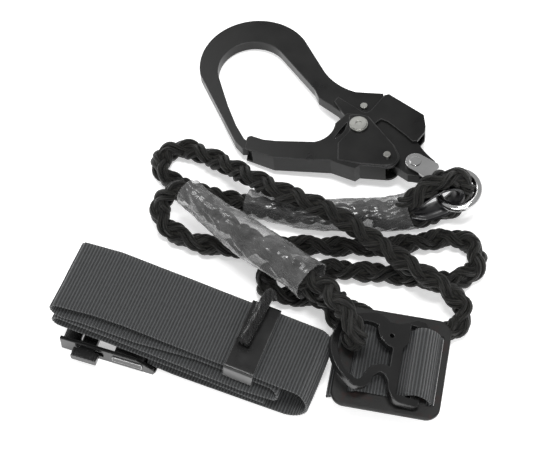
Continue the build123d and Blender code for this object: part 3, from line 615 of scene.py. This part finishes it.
# ---------------------------------------------------------------- clear shrink sleeves
def shrink_sleeve(name, points, radii, wall=0.35, seed=0.0, flare=1.0, around=84, wrinkle=1.0):
    """An open tube of film drawn tight over what it covers, with long creases and a loose lip at each end."""
    p = smooth_line(points, 0.8)
    s = lengths(p)
    t, n, b = carried_frames(p)
    keys = np.linspace(0, s[-1], len(radii))
    verts, uvs, faces = [], [], []
    for i in range(len(p)):
        base = float(np.interp(s[i], keys, radii))
        edge = min(s[i], s[-1] - s[i])
        for k in range(around):
            a = 2 * math.pi * k / around
            c, d = math.cos(a), math.sin(a)
            long = noise.noise(Vector((s[i] * 0.035 + seed, c * 1.9, d * 1.9)))
            fine = noise.noise(Vector((s[i] * 0.16 + seed, c * 3.6 + s[i] * 0.06, d * 3.6)))
            tiny = noise.noise(Vector((s[i] * 0.45 + seed, c * 7.5, d * 7.5)))
            crease = -abs(noise.noise(Vector((s[i] * 0.07 - seed, c * 3.0 + s[i] * 0.05, d * 3.0))))
            r = base + wrinkle * (0.75 * long + 0.55 * fine + 0.2 * tiny + 1.1 * crease + 0.35)
            r += flare * 0.7 * math.exp(-edge / 2.5)
            verts.append(p[i] + r * (c * n[i] + d * b[i]))
            uvs.append((s[i], k / around))
    for i in range(len(p) - 1):
        for k in range(around):
            q, w = i * around + k, i * around + (k + 1) % around
            faces.append((q, w, w + around, q + around))
    ob = mesh_object(name, verts, faces, uvs)
    skin = ob.modifiers.new("film", "SOLIDIFY")
    skin.thickness = wall * MM
    skin.offset = 1.0
    return ob


hook_end_film = shrink_sleeve(
    "hook_end_film",
    [eye_point(-18.5, 0.3), (78, -5.2, 12.9), (64, -5.6, 11.8), (47, -5.6, 11.8), (18, -4, 11.6),
     (-1, -0.2, 11.2), (-17, 4.2, 9.9)],
    [11.6, 11.2, 10.6, 10.2, 9.8, 9.2, 8.8, 8.5], seed=3.0)
finish_piece(hook_end_film, FILM, "laid_set", "hook_end_sleeve")
belt_end_film = shrink_sleeve(
    "belt_end_film",
    [(-55, 2, 27.2), (-43.5, -10.3, 29.8), (-30, -23, 30.6), (-15, -35, 30.2), (1, -47, 29.8), (14, -57, 30),
     (24, -66, 30.8)],
    [8.8, 9.0, 9.6, 11.5, 12.4, 12.4, 11.8, 11.6, 12.0], seed=9.0)
finish_piece(belt_end_film, FILM, "laid_set", "belt_end_sleeve")


# ---------------------------------------------------------------- thimble
def thimble_channel():
    """A shallow channel round the inside of the hook eye, narrowing to the rope at its open end."""
    bed = smooth_line([(x, u, 0) for x, u in (
        (-21, -1.0), (-14, -3.8), (-5, -5.6), (4, -6.0), (9.6, -3.4), (12.0, 1.2), (10.6, 5.4), (5.5, 8.2),
        (-2, 8.4), (-10, 6.2), (-16, 3.2), (-21, 1.6))], 0.8)
    # one side of the channel's section, as half width and height: first the inside, then the outside
    inner = [(7.3, 3.8), (6.4, 1.7), (4.6, 0.3), (2.2, -0.3)]
    outer = [(6.6, 4.0), (5.7, 2.4), (4.1, 1.2), (2.0, 0.7)]
    section = [(-w, h) for w, h in inner] + inner[::-1] + outer + [(-w, h) for w, h in outer[::-1]]
    s = lengths(bed)
    verts, uvs = [], []
    for i, (x, u, _) in enumerate(bed):
        d = unit(bed[min(len(bed) - 1, i + 1)] - bed[max(0, i - 1)])
        narrow = 0.55 + 0.45 * ease(min(s[i], s[-1] - s[i]), 0, 10)
        for k, (side, out) in enumerate(section):
            verts.append(eye_point(x + d[1] * out, u - d[0] * out) + EYE_SIDE * side * narrow)
            uvs.append((s[i], k))
    ob = mesh_object("thimble_channel", verts, swept_faces(len(bed), len(section)), uvs)
    face_outwards(ob)
    return ob


finish_piece(thimble_channel(), THIMBLE, "laid_set", "hook_thimble")


# ---------------------------------------------------------------- webbing
RIB = 0.24               # depth of the ribs that cross the strap every 2 mm
EDGE = 0.35              # how far the strap's edge is rounded
ACROSS = 12


def strap_section(width):
    """Round the strap's section: place across the width, and 1 on top, -1 underneath, 0 on the edges."""
    row = [EDGE + k / ACROSS * (width - 2 * EDGE) for k in range(ACROSS + 1)]
    return [(0.0, 0.0)] + [(w, 1.0) for w in row] + [(width, 0.0)] + [(w, -1.0) for w in row[::-1]]


def ribbon(name, profile, origin, x_dir, w_dir, width, thick, lean=((0, 0), (1, 0)), spread=((0, 1), (1, 1)),
           ripple=0.0):
    """A ribbed strap swept along an upright profile; lean shifts it sideways and spread widens it."""
    p = resample(np.array([(x, z, 0) for x, z in profile], float), 0.4)
    s = lengths(p)
    d = np.gradient(p, axis=0)
    d /= np.linalg.norm(d, axis=1)[:, None]
    section = strap_section(width)
    verts, uvs = [], []
    for i in range(len(p)):
        slide = float(np.interp(s[i], *zip(*lean)))
        wide = float(np.interp(s[i], *zip(*spread)))
        for w, side in section:
            sway = ripple * noise.noise(Vector((s[i] * 0.03, w * 0.05, 2.0)))
            off = side * (thick / 2 - 0.2 + RIB * math.cos(math.pi * s[i])) + sway
            x, z = p[i][0] - d[i][1] * off, p[i][1] + d[i][0] * off
            verts.append(origin + x_dir * x + UP * z + w_dir * (w * wide + slide))
            uvs.append((s[i], w))
    ob = mesh_object(name, verts, swept_faces(len(p), len(section)), uvs)
    face_outwards(ob)
    return ob


def fold(start, middle, end):
    """Points on the circle through three profile points, from start to end past the middle one."""
    (x1, y1), (x2, y2), (x3, y3) = start, middle, end
    det = 2 * (x1 * (y2 - y3) + x2 * (y3 - y1) + x3 * (y1 - y2))
    q1, q2, q3 = (x * x + y * y for x, y in (start, middle, end))
    cx = (q1 * (y2 - y3) + q2 * (y3 - y1) + q3 * (y1 - y2)) / det
    cy = (q1 * (x3 - x2) + q2 * (x1 - x3) + q3 * (x2 - x1)) / det
    a1, a2, a3 = (math.atan2(y - cy, x - cx) for x, y in (start, middle, end))
    r = math.hypot(x1 - cx, y1 - cy)
    span, part = (a3 - a1) % (2 * math.pi), (a2 - a1) % (2 * math.pi)
    if part > span:
        span -= 2 * math.pi
    angles = [a1 + span * i / 14 for i in range(15)]
    return [(cx + r * math.cos(a), cy + r * math.sin(a)) for a in angles]


def layer(points):
    """A smooth profile line through the points."""
    q = smooth_line([(x, z, 0) for x, z in points], 1.0)
    return [(float(x), float(z)) for x, z, _ in q]


belt_profile = (
    layer([(64.6, 7.0), (80.0, 4.2), (94.0, 3.6), (120, 3.6), (156.0, 3.6)])
    + fold((156.0, 3.6), (170.0, 14.9), (158.0, 25.2))[1:]
    + layer([(158.0, 25.2), (124.0, 28.3), (70.0, 33.0), (30, 36.4), (4.0, 38.2)])[1:]
    + fold((4.0, 38.2), (0.6, 34.4), (4.0, 30.6))[1:]
    + layer([(4.0, 30.6), (36, 29.2), (70.0, 27.0), (110, 23.9), (148.0, 20.6)])[1:]
    + fold((148.0, 20.6), (150.6, 17.6), (148.0, 14.6))[1:]
    + layer([(148.0, 14.6), (110, 18.8), (70.0, 22.6), (36, 25.4), (6.0, 27.4)])[1:]
    + fold((6.0, 27.4), (1.6, 23.0), (6.0, 18.6))[1:]
    + layer([(6.0, 18.6), (36, 17.4), (70.0, 15.4), (108, 12.6), (144.0, 9.4)])[1:])
# the lower layers stick out towards the viewer, the two upper ones stay inside the keeper
belt = ribbon("belt_strap", belt_profile, BELT_O, BELT_X, BELT_W, 47.0, 2.0,
              lean=((0, 4.5), (92, 4.5), (125, -1.5), (262, -1.7), (286, 0.5), (300, 4.0), (350, 3.5),
                    (388, 0.0), (437, -0.2), (447, 3.0), (470, 5.0), (750, 5.0)),
              spread=((0, 1), (240, 1), (286, 1.04), (310, 1), (388, 0.98), (437, 0.98), (450, 1), (750, 1)),
              ripple=0.35)
finish_piece(belt, WEBBING, "laid_set", "belt_webbing")

# up through one slot of the back plate, round the D-ring's bar, and down through the other slot
weave = layer([
    (-38, 1.8), (-30, 6.5), (-22, 12.2), (-14, 13.5), (5, 13.5), (20.5, 13.5), (24.6, 14.4),
    (26.1, 16.4), (25.6, 19.2), (21.8, 24.2), (15.8, 26.4), (11.2, 24.0),
    (9.8, 20.8), (7.2, 19.1), (2.5, 18.6), (-6, 18.6), (-18.6, 18.6), (-22.2, 17.6),
    (-23.2, 15.8), (-24.4, 13.6), (-28, 11), (-38, 5.0)])
strap = ribbon("plate_strap", weave, BACK_O + BACK_Y * 21.5, BACK_X, -BACK_Y, 47.0, 1.8, ripple=0.1)
finish_piece(strap, WEBBING, "laid_set", "plate_webbing")

# the webbing packed into each slot beside the strap
for name, middle in (("slot_webbing_1", -22.9), ("slot_webbing_2", 26.0)):
    sag = [(middle - 2.3, 15.9), (middle, 15.7), (middle + 2.3, 15.9)]
    packing = ribbon(name, sag, BACK_O + BACK_Y * 22.2, BACK_X, -BACK_Y, 48.4, 1.5)
    finish_piece(packing, WEBBING, "laid_set")

# ---------------------------------------------------------------- hook hanger: thin cords bound with film
hanger_line = [(-18.5, -112.5, 38.2), (-12, -100, 38.4), (-6, -86, 38.2), (-2.6, -78, 35.6),
               (-1.2, -73.6, 29.5), (-1.0, -72.8, 22)]
OUTER_CORDS = 6
core = smooth_line(hanger_line, 0.9)
core_t, core_n, core_b = carried_frames(core)
hanger = Builder()
for k in range(OUTER_CORDS + 1):
    line = []
    for i, s in enumerate(lengths(core)):
        a = 2 * math.pi * k / OUTER_CORDS + s * 0.16
        r = 0.0 if k == OUTER_CORDS else 2.1 + 0.3 * noise.noise(Vector((s * 0.1, k * 3.1, 0)))
        line.append(core[i] + r * (math.cos(a) * 1.25 * core_b[i] + math.sin(a) * 0.8 * core_n[i]))
    hanger.tube(line, 1.12, sides=8)
finish_piece(hanger.done("hanger_strands"), CORD, "keeper", "hanger_cord")
hanger_film = shrink_sleeve("hanger_film", hanger_line[:3], [3.9, 3.9, 3.9], wall=0.2, seed=21.0, flare=0.5,
                            around=40, wrinkle=0.6)
finish_piece(hanger_film, BAND, "keeper", "hanger_sleeve")


# ---------------------------------------------------------------- floor, light, camera, in metres
def pale_floor(half_size=3.0, gap=0.0005):
    """A pale floor just under the lowest piece."""
    mesh = bpy.data.meshes.new("floor")
    mesh.from_pydata([(x * half_size, y * half_size, 0) for x, y in ((-1, -1), (1, -1), (1, 1), (-1, 1))], [],
                     [(0, 1, 2, 3)])
    ob = place("floor", mesh)
    ob.location.z = min(0.0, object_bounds()[0][2]) - gap
    m, nt, bsdf = new_material("pale floor")
    bsdf.inputs["Roughness"].default_value = 0.9
    bsdf.inputs["Specular IOR Level"].default_value = 0.1
    bsdf.inputs["Emission Color"].default_value = (1, 1, 1, 1)
    bsdf.inputs["Emission Strength"].default_value = 0.45
    nt.links.new(ramp(nt, grain(nt, 30.0), (0.92, 0.92, 0.92), (0.94, 0.94, 0.94)), bsdf.inputs["Base Color"])
    mesh.materials.append(m)


def aim(ob, spot, target):
    """Stand a light or camera at the spot and turn it to the target."""
    ob.location = spot
    ob.rotation_euler = (Vector(target) - Vector(spot)).to_track_quat("-Z", "Y").to_euler()


def softbox(name, spot, target, size, power):
    """A rectangular lamp; its power is in watts."""
    data = bpy.data.lights.new(name, "AREA")
    data.shape = "RECTANGLE"
    data.size, data.size_y = size
    data.energy = power
    aim(place(name, data), spot, target)


pale_floor()
world = bpy.data.worlds.new("studio")
bpy.context.scene.world = world
world.use_nodes = True
world.node_tree.nodes["Background"].inputs[0].default_value = (1, 1, 1, 1)
world.node_tree.nodes["Background"].inputs[1].default_value = 0.5
softbox("key", (-0.5, 0.75, 1.0), (0, 0, 0), (0.6, 0.4), 5)
softbox("overhead", (0.05, -0.15, 1.1), (0, 0, 0), (0.34, 0.16), 7)
softbox("front", (0.0, -0.95, 0.57), (0, 0, 0.01), (1.2, 0.14), 7)

cam_data = bpy.data.cameras.new("camera")
cam_data.sensor_width = 36.0
cam_data.lens = 111.6
cam = place("camera", cam_data)
aim(cam, ((-2, -578.5, 952.9) + CENTRING) * MM, ((-2, -12, 10) + CENTRING) * MM)
bpy.context.scene.camera = cam
bpy.context.scene.view_settings.view_transform = "Standard"
